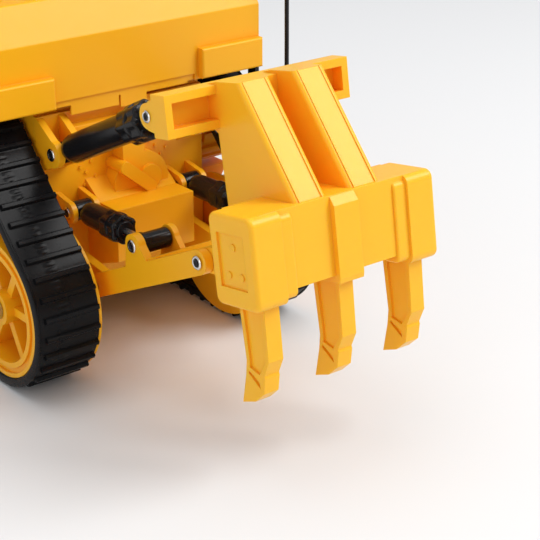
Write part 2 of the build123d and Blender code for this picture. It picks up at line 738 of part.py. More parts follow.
with BuildPart() as seat:
    block((cab_x[0] + 14, cab_x[0] + 34), (-10, 10), (fender_z, fender_z + 14))
    block((cab_x[0] + 10, cab_x[0] + 38), (-12, 12), (fender_z + 14, fender_z + 20))
    block((cab_x[0] + 8, cab_x[0] + 15), (-12, 12), (fender_z + 14, fender_z + 46))
    fillet(seat.edges().filter_by(Axis.Y).group_by(Axis.Z)[-1], radius=2.5)
save(seat, "seat")

# ---- Aerial: bracket under the housing's right rear corner, and a slightly bowed whip ----
whip_radius = 1.1
whip_foot = (x_house - 7.7, -(house_half + 11.3))
whip_rise = 116.0
whip_bow = 1.4
whip_drop = 10.0            # bracket below the housing's bottom edge
bracket_wide = 6.0
base_z = (house_base - whip_drop - 4.0, house_base - whip_drop)
with BuildPart() as aerial_base:
    block(
        (whip_foot[0] - 4, x_house + bracket_wide), (whip_foot[1] - 4, -house_half + wall), base_z
    )
    block(
        (x_house, x_house + bracket_wide), (-house_half, -house_half + wall), (base_z[0], house_base)
    )
    with Locations((whip_foot[0], whip_foot[1], base_z[1] - 3)):
        Cylinder(3.2, 12)
    with Locations((whip_foot[0], whip_foot[1], base_z[1])):
        Cylinder(whip_radius, 30, mode=Mode.SUBTRACT)
save(aerial_base, "aerial_base")

whip_start = (whip_foot[0], whip_foot[1], base_z[0] - 4)
with BuildPart() as aerial_whip:
    with BuildLine() as whip_line:
        straight = Line(whip_start, (whip_foot[0], whip_foot[1], base_z[1] + 6))
        TangentArc(straight @ 1, (whip_foot[0] + whip_bow, whip_foot[1], base_z[1] + whip_rise), tangent=(0, 0, 1))
    with BuildSketch(Plane.XY.offset(whip_start[2])) as whip_section:
        with Locations((whip_foot[0], whip_foot[1])):
            Circle(whip_radius)
    sweep(whip_section.sketch, path=whip_line.wires()[0])
save(aerial_whip, "aerial_whip")

# ---- Track frames with moulded rollers and the blade trunnion; wheel axles ----
frame_face = track_outer - 3.0
roller_radius = 9.0
roller_count = 5
roller_cap = 5.0
wheel_room = idler_radius + flange_rise + 1.0
frame_x = (rear_idler[0] + wheel_room, front_idler[0] - wheel_room)
roller_z = grouser_height + belt_thick + slip + roller_radius
bracket_top = sprocket[1] - sprocket_radius - 2.5
roller_pitch = (frame_x[1] - frame_x[0] - 2 * roller_radius) / (roller_count - 1)
for side, word in SIDES:
    with BuildPart() as track_frame:
        # Beam that rises to a bracket under the sprocket
        slab(
            (
                (frame_x[0], roller_z + 4),
                (frame_x[1], roller_z + 4),
                (frame_x[1], roller_z + 20),
                (frame_x[1] - 20, roller_z + 30),
                (frame_x[0] + 30, roller_z + 36),
                (sprocket[0] + 14, bracket_top),
                (sprocket[0] - 9, bracket_top),
                (frame_x[0], roller_z + 36),
            ),
            *pair(side, tub_half, frame_face - 4),
        )
        slab(
            (
                (frame_x[0] + 4, roller_z + 8),
                (frame_x[1] - 4, roller_z + 8),
                (frame_x[1] - 8, roller_z + 18),
                (frame_x[0] + 10, roller_z + 22),
            ),
            *pair(side, frame_face - 5, frame_face - 1),
        )
        for n in range(roller_count):
            centre = (frame_x[0] + roller_radius + roller_pitch * n, roller_z)
            disc(centre, roller_radius, *pair(side, tub_half + 4, frame_face - 6))
            disc(centre, roller_cap, *pair(side, frame_face - 6.5, frame_face - 2))
        disc(trunnion, trunnion_radius + 3, *pair(side, frame_face - 5, arm_y - slip))
        disc(trunnion, trunnion_radius, *pair(side, arm_y - slip - 1, arm_y + push_thick + slip))
    save(track_frame, f"track_frame_{word}")

with BuildPart() as wheel_axles:
    for side, _ in SIDES:
        for centre in (rear_idler, front_idler):
            disc(centre, axle_radius, *pair(side, tub_half - axle_grip, wheel_face + slip))
            disc(centre, axle_radius + 2.5, *pair(side, wheel_face + slip, wheel_face + slip + 1.5))
save(wheel_axles, "wheel_axles")

# ---- Blade, cutting edge, push arms ----
edge_thick = 2.6
edge_height = 13.0
blade_base = blade_clear + edge_height - 3.0
blade_top = blade_clear + blade_height
blade_mid = (blade_base + blade_top) / 2
end_plate = 3.0
arm_z = (30.0, 42.0)
blade_ear_gap = 7.6
rod_end_radius = 4.4
with BuildPart() as blade:
    with BuildSketch(Plane.XZ.offset(blade_half)) as board:
        with BuildLine():
            front = ThreePointArc(
                (blade_back + 14, blade_base), (blade_back + 3.4, blade_mid), (blade_back + 12, blade_top)
            )
            crown = Line(front @ 1, (blade_back + 9, blade_top + 1.5))
            back = ThreePointArc(crown @ 1, (blade_back, blade_mid), (blade_back + 10.6, blade_base))
            Line(back @ 1, front @ 0)
        make_face()
    extruded(board.sketch, -blade_half, blade_half, Mode.ADD)
    slab(
        (
            (blade_back + 10.6, blade_base),
            (blade_back + 14, blade_base),
            (blade_back + 19.5, blade_base - 9),
            (blade_back + 16.5, blade_base - 9),
        ),
        -blade_half,
        blade_half,
    )
    for side, _ in SIDES:
        slab(
            (
                (blade_back + 2, blade_mid - 14),
                (blade_back + 9, blade_base),
                (blade_front - 8, blade_clear + 5),
                (blade_front, blade_clear + 5),
                (blade_front - 4, blade_mid - 6),
                (blade_front - 10, blade_top),
                (blade_back + 8, blade_top),
                (blade_back + 2, blade_mid + 14),
            ),
            *pair(side, blade_half - end_plate, blade_half),
        )
        # Back stiffeners, push arm sockets and the lift cylinder's ears
        near, far = pair(side, arm_y - 4, arm_y + push_thick + 4)
        slab(
            (
                (blade_back - 2.5, blade_base + 8),
                (blade_back - 2.5, blade_mid + 12),
                (blade_back + 6, blade_top - 4),
                (blade_back + 10, blade_base + 6),
            ),
            near,
            far,
        )
        for low, high in (
            (blade_cylinder_y + blade_ear_gap / 2, blade_cylinder_y + blade_ear_gap / 2 + thin_ear),
            (blade_cylinder_y - blade_ear_gap / 2 - thin_ear, blade_cylinder_y - blade_ear_gap / 2),
        ):
            lug_plate(
                (blade_back + 3.5, blade_eye[1] + 9), (blade_back + 3.5, blade_eye[1] - 9), blade_eye,
                *pair(side, low, high), radius=4.6,
            )
        near, far = pair(side, blade_cylinder_y - blade_ear_gap, blade_cylinder_y + blade_ear_gap)
        disc(blade_eye, pin_radius, near, far, Mode.SUBTRACT)
    for z in (blade_base + 6, blade_top - 12):
        block((blade_back - 1.5, blade_back + 8), (-arm_y + 2, arm_y - 2), (z, z + 5))
    for n in range(5):
        y = -60 + 30 * n
        block((blade_back - 1.0, blade_back + 6), (y - 1.5, y + 1.5), (blade_base + 8, blade_top - 10))
    slab(
        (
            (blade_back + 14, blade_base),
            (blade_back + 3.9, blade_mid - 12),
            (blade_back + 3.4, blade_mid),
            (blade_back + 3.9, blade_mid + 12),
            (blade_back + 12, blade_top),
            (blade_back + 60, blade_top),
            (blade_back + 60, blade_base),
        ),
        -blade_half + end_plate,
        blade_half - end_plate,
        Mode.SUBTRACT,
    )
save(blade, "blade")

with BuildPart() as cutting_edge:
    slab(
        (
            (blade_back + 14.6, blade_base),
            (blade_back + 14.6 + edge_thick, blade_base),
            (blade_back + 20.1 + edge_thick, blade_clear),
            (blade_back + 20.1, blade_clear + 0.8),
        ),
        -blade_half + end_plate + slip,
        blade_half - end_plate - slip,
    )
save(cutting_edge, "cutting_edge")

for side, word in SIDES:
    with BuildPart() as push_arm:
        slab(
            (
                (trunnion[0] - 8, arm_z[0] - 2),
                (trunnion[0] + 12, arm_z[0] - 4),
                (blade_back - 2.5 - slip, arm_z[0] - 8),
                (blade_back - 2.5 - slip, arm_z[1] - 6),
                (trunnion[0] + 12, arm_z[1]),
                (trunnion[0] - 8, arm_z[1] - 2),
            ),
            *pair(side, arm_y, arm_y + push_thick),
            corner=2,
        )
        slab(
            (
                (trunnion[0] + 60, arm_z[1] - 6),
                (blade_back - 2.5 - slip, blade_mid + 2),
                (blade_back - 2.5 - slip, blade_mid + 9),
                (trunnion[0] + 48, arm_z[1] - 4),
            ),
            *pair(side, arm_y + 1, arm_y + push_thick - 1),
        )
        disc(trunnion, trunnion_radius + 5, *pair(side, arm_y, arm_y + push_thick))
        disc(trunnion, trunnion_radius + running, *pair(side, arm_y - 1, arm_y + push_thick + 1), Mode.SUBTRACT)
    save(push_arm, f"push_arm_{word}")

with BuildPart() as blade_pins:
    for side, _ in SIDES:
        inner = blade_cylinder_y - blade_ear_gap / 2 - thin_ear
        outer = blade_cylinder_y + blade_ear_gap / 2 + thin_ear
        disc(blade_eye, pin_radius, *pair(side, inner, outer))
        disc(blade_eye, head_radius, *pair(side, outer, outer + head_thick))
save(blade_pins, "blade_pins")


# ---- Cylinders: barrel with a bolted gland, rod with an eye ----
def cylinder_axis(start, end, y):
    """A plane at the barrel's pin whose normal points along the cylinder."""
    length = hypot(end[0] - start[0], end[1] - start[1])
    way = ((end[0] - start[0]) / length, 0, (end[1] - start[1]) / length)
    return Plane(origin=(start[0], y, start[1]), x_dir=(0, 1, 0), z_dir=way), length


def barrel(start, end, side, y, radius, gland, body_end, eye_radius, eye_half, rod, bolts=8, tube_start=7.0):
    """A barrel from its eye to the end of its gland, bored for the rod."""
    axis, _ = cylinder_axis(start, end, side * y)
    gland_start = body_end - 1.5 * gland
    with BuildPart() as piece:
        disc(start, eye_radius, side * y - eye_half, side * y + eye_half)
        with BuildSketch(axis.offset(eye_radius * 0.5)) as neck:
            Rectangle(2 * eye_half - 0.6, 1.6 * eye_radius)
        extrude(neck.sketch, amount=tube_start)
        with BuildSketch(axis.offset(tube_start)) as tube:
            Circle(radius)
        extrude(tube.sketch, amount=body_end - tube_start - 1)
        with BuildSketch(axis.offset(gland_start)) as collar:
            Circle(gland - 1)
            with PolarLocations(gland - 1.6, bolts):
                Circle(1.6)
        extrude(collar.sketch, amount=body_end - gland_start - 2)
        with BuildSketch(axis.offset(body_end - 2)) as nose:
            Circle(gland * 0.62)
        extrude(nose.sketch, amount=2)
        with BuildSketch(axis.offset(tube_start + 3)) as bore:
            Circle(rod + running)
        extrude(bore.sketch, amount=body_end, mode=Mode.SUBTRACT)
        disc(start, pin_radius + running, side * y - eye_half - 1, side * y + eye_half + 1, Mode.SUBTRACT)
    return piece


def rod(start, end, side, y, from_pin, radius, eye_radius, eye_low, eye_high, hole):
    """A rod from inside its barrel to its eye; the eye runs between two y values."""
    axis, length = cylinder_axis(start, end, side * y)
    low, high = pair(side, eye_low, eye_high)
    with BuildPart() as piece:
        with BuildSketch(axis.offset(from_pin)) as bar:
            Circle(radius)
        extrude(bar.sketch, amount=length - from_pin - eye_radius * 0.6)
        disc(end, eye_radius, low, high)
        disc(end, hole, low - 1, high + 1, Mode.SUBTRACT)
    return piece


tilt_length = hypot(tilt_eye[0] - tilt_lug[0], tilt_eye[1] - tilt_lug[1])
lift_hub = (arm_outer - arm_thick - 14.4, arm_outer - arm_thick - 0.5)
lift_half = lift_ear_gap / 2 - 0.2
blade_eye_half = blade_ear_gap / 2 - slip
tilt_rod_radius = 2.2
lift_rod_radius = 1.4
blade_rod_radius = 1.8
for side, word in SIDES:
    tilt_barrel = barrel(
        tilt_lug, tilt_eye, side, tilt_y, radius=6.6, gland=8.6, body_end=tilt_length - 6.4,
        eye_radius=5.0, eye_half=tilt_half, rod=tilt_rod_radius, bolts=10,
    )
    save(tilt_barrel, f"tilt_barrel_{word}")
    tilt_rod = rod(
        tilt_lug, tilt_eye, side, tilt_y, from_pin=20, radius=tilt_rod_radius, eye_radius=4.6,
        eye_low=tilt_y - tilt_half, eye_high=tilt_y + tilt_half, hole=pin_radius + running,
    )
    save(tilt_rod, f"tilt_rod_{word}")
    lift_barrel = barrel(
        lift_lug, lift_eye, side, lift_y, radius=5.6, gland=7.0, body_end=37.0,
        eye_radius=4.6, eye_half=lift_half, rod=lift_rod_radius,
    )
    save(lift_barrel, f"lift_barrel_{word}")
    lift_rod = rod(
        lift_lug, lift_eye, side, lift_y, from_pin=18, radius=lift_rod_radius, eye_radius=4.6,
        eye_low=lift_hub[0], eye_high=lift_hub[1], hole=pin_radius + sway,
    )
    save(lift_rod, f"lift_rod_{word}")
    blade_barrel = barrel(
        blade_lug, blade_eye, side, blade_cylinder_y, radius=4.0, gland=5.2, body_end=48.0,
        eye_radius=4.2, eye_half=3.4, rod=blade_rod_radius, bolts=6,
    )
    save(blade_barrel, f"blade_barrel_{word}")
    blade_rod = rod(
        blade_lug, blade_eye, side, blade_cylinder_y, from_pin=40.6, radius=blade_rod_radius,
        eye_radius=rod_end_radius, eye_low=blade_cylinder_y - blade_eye_half,
        eye_high=blade_cylinder_y + blade_eye_half, hole=pin_radius + sway,
    )
    save(blade_rod, f"blade_rod_{word}")

with BuildPart() as hood_pins:
    for side, _ in SIDES:
        disc(blade_lug, pin_radius, *pair(side, hood_half - 3, blade_cylinder_y + 4.0))
        disc(blade_lug, head_radius, *pair(side, blade_cylinder_y + 4.0, blade_cylinder_y + 4.0 + head_thick))
save(hood_pins, "hood_pins")

# ---- Ripper link frame ----
arm_half = 5.4
link_dir = (ripper_pivot[0] - link_pivot[0], ripper_pivot[1] - link_pivot[1])
link_length = hypot(*link_dir)
link_unit = (link_dir[0] / link_length, link_dir[1] / link_length)


def on_link(along, up):
    """World (x, z) of a point along the link and square to it, upward positive."""
    return (
        link_pivot[0] + along * link_unit[0] + up * link_unit[1],
        link_pivot[1] + along * link_unit[1] - up * link_unit[0],
    )


web_run = (14.0, 56.0)
web_thick_link = 3.0
window_run = (18.0, 30.0)
window_half = (8.0, 18.0)
hub_ear_inner = lift_hub[0] - 0.5 - link_ear
with BuildPart() as link_frame:
    for side, _ in SIDES:
        near, far = pair(side, arm_outer - arm_thick, arm_outer)
        slab(
            (on_link(0, arm_half), on_link(link_length, arm_half), on_link(link_length, -arm_half),
             on_link(0, -arm_half)),
            near, far,
        )
        disc(link_pivot, arm_half, near, far)
        disc(ripper_pivot, arm_half, near, far)
        for ear_limits in ((near, far), pair(side, hub_ear_inner, hub_ear_inner + link_ear)):
            lug_plate(on_link(26, -3), on_link(52, -3), lift_eye, *ear_limits, radius=eye_round)
    slab(
        (on_link(web_run[0], -arm_half), on_link(web_run[1], -arm_half),
         on_link(web_run[1], -arm_half + web_thick_link), on_link(web_run[0], -arm_half + web_thick_link)),
        -arm_outer, arm_outer,
    )
    slab(
        (on_link(40, -arm_half), on_link(web_run[1], -arm_half), on_link(web_run[1], arm_half + 1),
         on_link(46, arm_half + 1)),
        -arm_outer + 1, arm_outer - 1,
    )
    for side, _ in SIDES:
        near, far = pair(side, *window_half)
        slab(
            (on_link(window_run[0], -arm_half - 2), on_link(window_run[1], -arm_half - 2),
             on_link(window_run[1], arm_half), on_link(window_run[0], arm_half)),
            near, far, Mode.SUBTRACT,
        )
        # Room for the lift rod's hub between its ears
        near, far = pair(side, hub_ear_inner + link_ear, arm_outer - arm_thick)
        disc(lift_eye, rod_end_radius + 3.2, near, far, Mode.SUBTRACT)
        disc(lift_eye, pin_radius, *pair(side, hub_ear_inner - 1, arm_outer + 1), Mode.SUBTRACT)
        disc(link_pivot, pin_radius + running, *pair(side, link_lug_y[1], arm_outer + 1), Mode.SUBTRACT)
        disc(ripper_pivot, pin_radius + running, *pair(side, link_lug_y[1], arm_outer + 1), Mode.SUBTRACT)
save(link_frame, "link_frame")

with BuildPart() as link_pins:
    for side, _ in SIDES:
        disc(lift_eye, pin_radius, *pair(side, hub_ear_inner, arm_outer))
        disc(lift_eye, head_radius, *pair(side, arm_outer, arm_outer + head_thick))
save(link_pins, "link_pins")

# ---- Ripper: beam with end caps and sleeve, two box ribs, crossbar, lugs ----
rib_y = (6.0, 22.0)
rib_round = 1.8
sleeve_half = 6.3
cap_inner = shank_spacing - 5.3
collar_inner = cap_inner - 6.3
cap_b = (-3.0, 34.6)
crossbar_b = (60.4, 78.0)
crossbar_a = (-58.0, -48.5)
rib_outline = (
    (-57, 77.5), (-48.5, 79.2), (-33.5, 79.6), (-4.2, 34.2), (-8, 20), (-48.0, 12), (-50, 58), (-57, 62)
)
flange = 3.6
beam_b = (2.0, 34.6)
with BuildPart() as ripper_frame:
    ripper_slab(
        ((-beam_depth + 2, beam_b[0]), (-2.5, beam_b[0]), (-2.5, beam_b[1]), (-beam_depth + 2, beam_b[1])),
        -beam_half + 6, beam_half - 6,
    )
    for side, _ in SIDES:
        with BuildPart(mode=Mode.PRIVATE) as cap:
            ripper_slab(
                ((-beam_depth, cap_b[0]), (0, cap_b[0]), (0, cap_b[1]), (-beam_depth, cap_b[1])),
                *pair(side, cap_inner, beam_half),
            )
            fillet(cap.edges().filter_by(Axis.Y), radius=3.8)
            fillet(cap.faces().sort_by(Axis.Y)[-1 if side > 0 else 0].edges(), radius=1.8)
        add(cap.part)
        with BuildPart(mode=Mode.PRIVATE) as collar:
            ripper_slab(
                (
                    (-beam_depth + 1.2, cap_b[0] + 1.6),
                    (-1.2, cap_b[0] + 1.6),
                    (-1.2, cap_b[1] - 1.6),
                    (-beam_depth + 1.2, cap_b[1] - 1.6),
                ),
                *pair(side, collar_inner, cap_inner + 1),
            )
            fillet(collar.edges().filter_by(Axis.Y), radius=3.0)
            fillet(collar.faces().sort_by(Axis.Y)[0 if side > 0 else -1].edges(), radius=0.9)
        add(collar.part)
        # Recessed end panel with three dots
        near, far = pair(side, beam_half - 1.0, beam_half + 1)
        ripper_slab(((-23, 5), (-6, 5), (-6, 27), (-23, 27)), near, far, Mode.SUBTRACT)
        for a, b in ((-14, 21.5), (-18, 10), (-10, 10)):
            with BuildSketch(ripper_plane.offset(min(pair(side, beam_half - 1.6, beam_half - 0.5)))) as dot:
                with Locations((a, b)):
                    Circle(1.5)
            extruded(dot.sketch, 0, 1.1, Mode.ADD)
        with BuildPart(mode=Mode.PRIVATE) as rib:
            ripper_slab(rib_outline, *pair(side, *rib_y))
            leaning = rib.edges().filter_by(Axis.Y, reverse=True).sort_by(SortBy.LENGTH)[-2:]
            fillet(leaning, radius=rib_round)
        add(rib.part)
        # Raised border lines along the ribs' leaning rear faces
        for low in (rib_y[0] + 2.0, rib_y[1] - 2.7):
            ripper_slab(
                ((-36, 77), (-33.3, 79.9), (-3.8, 34.6), (-8, 34)),
                *pair(side, low, low + 0.7),
            )
        # Crossbar end: eye plates for the tilt cylinder
        for limits, root in ((outer_ear, crossbar_a[1]), (inner_ear, crossbar_a[0] + 2)):
            near, far = pair(side, *limits)
            ripper_slab(
                (
                    (root, crossbar_b[0]),
                    (root, crossbar_b[1]),
                    (-60.5, crossbar_b[1] - 3),
                    (-62.5, crossbar_b[0] + 2.8),
                ),
                near, far,
            )
            disc(tilt_eye, eye_round, near, far)
        # Lower lugs to the link frame
        near, far = pair(side, *link_lug_y)
        ripper_slab(((-beam_depth + 3, 2), (-beam_depth + 3, 16), (-50, 13.2), (-51, 2.6)), near, far)
        disc(ripper_pivot, eye_round, near, far)
    ripper_slab(
        ((crossbar_a[0], crossbar_b[1] - flange), (crossbar_a[1], crossbar_b[1] - flange),
         (crossbar_a[1], crossbar_b[1]), (crossbar_a[0], crossbar_b[1])),
        -crossbar_half, crossbar_half,
    )
    ripper_slab(
        ((crossbar_a[0], crossbar_b[0]), (crossbar_a[1], crossbar_b[0]),
         (crossbar_a[1], crossbar_b[0] + flange), (crossbar_a[0], crossbar_b[0] + flange)),
        -crossbar_half, crossbar_half,
    )
    ripper_slab(
        ((crossbar_a[0], crossbar_b[0]), (crossbar_a[0] + 3, crossbar_b[0]),
         (crossbar_a[0] + 3, crossbar_b[1]), (crossbar_a[0], crossbar_b[1])),
        -crossbar_half, crossbar_half,
    )
    # Web behind the channel between the ribs
    ripper_slab(((-48.4, 12), (-44.5, 13), (-44.5, 78), (-48.4, 78)), -rib_y[0] - 1, rib_y[0] + 1)
    ripper_slab(
        ((-beam_depth + 3, -1.2), (-0.5, -1.2), (0, 1), (0, 30.6), (-2.5, 34.2), (-beam_depth + 3, 34.2)),
        -sleeve_half, sleeve_half,
    )
    # Room for the tilt rods' eyes, then all the pin holes
    for side, _ in SIDES:
        near, far = pair(side, inner_ear[1], outer_ear[0])
        disc(tilt_eye, 6.0, near, far, Mode.SUBTRACT)
        disc(tilt_eye, pin_radius, *pair(side, inner_ear[0] - 1, crossbar_half + 1), Mode.SUBTRACT)
        disc(ripper_pivot, pin_radius, *pair(side, link_lug_y[0] - 1, link_lug_y[1] + 1), Mode.SUBTRACT)
        for centre in (shank_spacing, 0):
            ripper_slab(
                ((-20.9, -3), (-4.4, -3), (-4.4, 14), (-20.9, 14)),
                *pair(side, centre - shank_thick / 2, centre + shank_thick / 2),
                Mode.SUBTRACT,
            )
save(ripper_frame, "ripper_frame")

with BuildPart() as ripper_pins:
    for side, _ in SIDES:
        disc(tilt_eye, pin_radius, *pair(side, inner_ear[0], crossbar_half))
        disc(tilt_eye, head_radius - 0.6, *pair(side, crossbar_half, crossbar_half + head_thick))
        disc(ripper_pivot, pin_radius, *pair(side, link_lug_y[0], arm_outer + slip))
        disc(ripper_pivot, head_radius, *pair(side, arm_outer + slip, arm_outer + slip + head_thick))
save(ripper_pins, "ripper_pins")

# Shank: blade-like, bent in its lower third, with a recessed panel and two slanting ribs on each flank
shank_outline = (
    (-20.7, 13.8),
    (-20.7, -3),
    (-19.6, -26.6),
    (-21.0, -33.2),
    (-25.1, -45.8),
    (-16.5, -43.7),
    (-10.4, -39.4),
    (-8.6, -32.6),
    (-8.9, -31.4),
    (-5.2, -25.2),
    (-4.6, -3),
    (-4.6, 13.8),
)
panel = ((-18.6, -1.5), (-17.6, -26), (-18.0, -29.5), (-12.0, -31.5), (-7.4, -25.6), (-6.8, -1.5))
notch = ((-19.2, -32.2), (-18.7, -31.0), (-12.6, -34.6), (-12.2, -37.6))
panel_depth = 1.0
for place, word in ((shank_spacing, "left"), (0.0, "centre"), (-shank_spacing, "right")):
    with BuildPart() as shank:
        ripper_slab(shank_outline, place - shank_thick / 2, place + shank_thick / 2)
        for face in (place - shank_thick / 2, place + shank_thick / 2):
            for hollow in (panel, notch):
                ripper_slab(hollow, face - panel_depth, face + panel_depth, Mode.SUBTRACT)
    save(shank, f"shank_{word}")

# ---- Screws: identical, through the rear cover and the circuit board's posts ----
with BuildPart() as screws:
    for spot in post_spots:
        with Locations((spot[0], spot[1], board_z + board_thick - screw_length / 2)):
            Cylinder(screw_radius, screw_length)
        with Locations((spot[0], spot[1], board_z + board_thick + 0.8)):
            Cylinder(screw_head, 1.6)
save(screws, "screws")

print("x_house", x_house)
for name, point in (
    ("sprocket", sprocket), ("pinion", pinion), ("rear_idler", rear_idler), ("front_idler", front_idler),
    ("tilt_lug", tilt_lug), ("tilt_eye", tilt_eye), ("lift_lug", lift_lug), ("lift_eye", lift_eye),
    ("link_pivot", link_pivot), ("ripper_pivot", ripper_pivot), ("trunnion", trunnion),
    ("blade_lug", blade_lug), ("blade_eye", blade_eye),
):
    print(name, round(point[0], 3), round(point[1], 3))
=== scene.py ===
"""Toy crawler bulldozer, put together around its CAD frame: chassis and drive train first, then belts,
wheels, pins and cylinders, the body, the blade and the ripper. Lengths are in metres, +X forward, +Y the
machine's left, +Z up."""
import json
import math

import bpy
import numpy as np
from mathutils import Euler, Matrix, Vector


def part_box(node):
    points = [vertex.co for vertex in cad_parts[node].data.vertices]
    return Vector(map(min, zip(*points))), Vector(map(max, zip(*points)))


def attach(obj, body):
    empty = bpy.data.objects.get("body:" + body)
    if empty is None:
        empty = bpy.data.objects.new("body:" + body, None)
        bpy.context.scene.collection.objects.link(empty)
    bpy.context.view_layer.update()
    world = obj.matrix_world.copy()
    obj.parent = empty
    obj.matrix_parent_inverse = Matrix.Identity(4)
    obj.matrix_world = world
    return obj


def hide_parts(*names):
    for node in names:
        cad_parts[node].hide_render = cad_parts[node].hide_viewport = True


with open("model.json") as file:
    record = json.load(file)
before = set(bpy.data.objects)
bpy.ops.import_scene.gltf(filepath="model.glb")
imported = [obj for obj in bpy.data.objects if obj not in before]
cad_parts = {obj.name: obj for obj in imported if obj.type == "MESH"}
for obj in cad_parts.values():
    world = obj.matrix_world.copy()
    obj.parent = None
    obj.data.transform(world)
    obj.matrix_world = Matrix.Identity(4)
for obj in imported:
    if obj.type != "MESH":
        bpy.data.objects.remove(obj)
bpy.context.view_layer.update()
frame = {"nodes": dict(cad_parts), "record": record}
nodes = frame["nodes"]
SIDES = ((1, "left"), (-1, "right"))


# Studio: a pale floor, one large key softbox high on the right behind the machine, a weak fill on its left
# and a broad light overhead. The camera stands behind the left track and looks down over it.
floor_mesh = bpy.data.meshes.new("studio_floor")
reach = 9.0
floor_mesh.from_pydata(
    [(-reach, -reach, 0), (reach, -reach, 0), (reach, reach, 0), (-reach, reach, 0)], [], [(0, 1, 2, 3)]
)
studio_floor = bpy.data.objects.new("studio_floor", floor_mesh)
bpy.context.collection.objects.link(studio_floor)

camera = bpy.data.objects.new("camera", bpy.data.cameras.new("camera"))
camera.data.lens = 102.58
camera.data.clip_end = 40
camera.location = (-0.62943, 0.37453, 0.32597)
yaw, pitch = math.radians(-38.449), math.radians(-23.110)
camera.rotation_euler = Euler((math.pi / 2 + pitch, 0, yaw - math.pi / 2), "XYZ")
bpy.context.collection.objects.link(camera)
bpy.context.scene.camera = camera


def softbox(name, place, aim, size, power, tint=(1, 1, 1)):
    """A square area light at a place, turned to face an aim point."""
    light = bpy.data.lights.new(name, "AREA")
    light.size = size
    light.energy = power
    light.color = tint
    holder = bpy.data.objects.new(name, light)
    holder.location = place
    way = np.array(place, float) - np.array(aim, float)
    flat = math.hypot(way[0], way[1])
    holder.rotation_euler = Euler((math.atan2(flat, way[2]), 0, math.atan2(way[0], -way[1])), "XYZ")
    bpy.context.collection.objects.link(holder)


middle = (-0.1, 0, 0.08)
softbox("key", (-0.9, -0.9, 1.25), middle, 0.9, 19, (1, 0.99, 0.975))
softbox("overhead", (0.0, 0.1, 1.7), middle, 1.4, 8)
softbox("fill", (-0.7, 1.2, 0.5), middle, 0.8, 2.6, (1, 0.99, 0.97))
world = bpy.data.worlds.new("studio")
bpy.context.scene.world = world
world.use_nodes = True
world.node_tree.nodes["Background"].inputs["Color"].default_value = (0.95, 0.97, 1.0, 1)
world.node_tree.nodes["Background"].inputs["Strength"].default_value = 0.55
bpy.context.scene.view_settings.view_transform = "Standard"


class Socket:
    """A shader output whose arithmetic adds Math nodes."""

    def __init__(self, shader, link):
        self.shader = shader
        self.link = link

    def joined(self, operation, first, second):
        return self.shader.node("ShaderNodeMath", {"operation": operation}, {0: first, 1: second})

    def __add__(self, other):
        return self.joined("ADD", self, other)

    def __sub__(self, other):
        return self.joined("SUBTRACT", self, other)

    def __mul__(self, other):
        return self.joined("MULTIPLY", self, other)

    __radd__ = __add__

    def over(self, other):
        return self.joined("GREATER_THAN", self, other)


class Shader:
    """One material. node() adds any node; constants go straight on the surface's own sockets."""

    def __init__(self, name, **surface):
        self.material = bpy.data.materials.new(name)
        self.material.use_nodes = True
        self.tree = self.material.node_tree
        self.surface = self.tree.nodes["Principled BSDF"]
        self.place = self.node("ShaderNodeTexCoord", out="Object")
        for label, value in surface.items():
            self.feed(self.surface.inputs[label.replace("_", " ")], value)

    def feed(self, socket, value):
        if isinstance(value, Socket):
            self.tree.links.new(value.link, socket)
        elif isinstance(value, (tuple, list)) and len(value) == 3 and socket.type == "RGBA":
            socket.default_value = (*value, 1)
        else:
            socket.default_value = value

    def node(self, kind, settings=None, inputs=None, out=0):
        made = self.tree.nodes.new(kind)
        for label, value in (settings or {}).items():
            setattr(made, label, value)
        for label, value in (inputs or {}).items():
            self.feed(made.inputs[label], value)
        return Socket(self, made.outputs[out])

    def noise(self, scale, detail=3, roughness=0.5, vector=None):
        """Noise from 0 to 1 whose features are about 1/scale metres across."""
        given = {"Scale": scale, "Detail": detail, "Roughness": roughness, "Vector": vector or self.place}
        return self.node("ShaderNodeTexNoise", {}, given, "Fac")

    def stretched(self, x, y, z):
        """The object's own coordinates, scaled along each axis."""
        return self.node("ShaderNodeMapping", {}, {"Vector": self.place, "Scale": (x, y, z)})

    def mix(self, share, first, second):
        """Blends two colours by a share from 0 to 1."""
        made = {0: share, 6: first, 7: second}
        return self.node("ShaderNodeMix", {"data_type": "RGBA"}, made, 2)

    def open_sky(self, distance):
        """How open a point is to its surroundings within a distance, from 0 in a crevice to 1."""
        return self.node("ShaderNodeAmbientOcclusion", {"samples": 6}, {"Distance": distance}, "AO")

    def colour(self, value):
        self.feed(self.surface.inputs["Base Color"], value)

    def rough(self, value):
        self.feed(self.surface.inputs["Roughness"], value)

    def relief(self, height, depth, edge=0.0):
        """Bump of a depth in metres, over edges softened to a radius."""
        given = {"Height": height, "Distance": depth}
        if edge:
            given["Normal"] = self.node("ShaderNodeBevel", {"samples": 4}, {"Radius": edge}, "Normal")
        self.feed(self.surface.inputs["Normal"], self.node("ShaderNodeBump", {}, given, "Normal"))


def wear(shader, *names):
    """Gives CAD nodes a finished material."""
    for name in names:
        for slot in nodes[name].material_slots:
            slot.material = shader.material


paper = Shader("studio_paper", Roughness=0.7)
paper.colour(paper.mix(paper.noise(3, 2) * 0.4, (0.79, 0.79, 0.795), (0.81, 0.81, 0.81)))
studio_floor.data.materials.append(paper.material)


# Chassis tub, rear cover and track frames: moulded in self-coloured yellow plastic, screwed and snapped
# together. Shade is painted into its recesses as a deeper colour, and it has faint flow marks, dust specks
# and fine scratches.
def both(*stems):
    """Names of the left and right nodes for each stem."""
    return [f"{stem}_{word}" for stem in stems for _, word in SIDES]


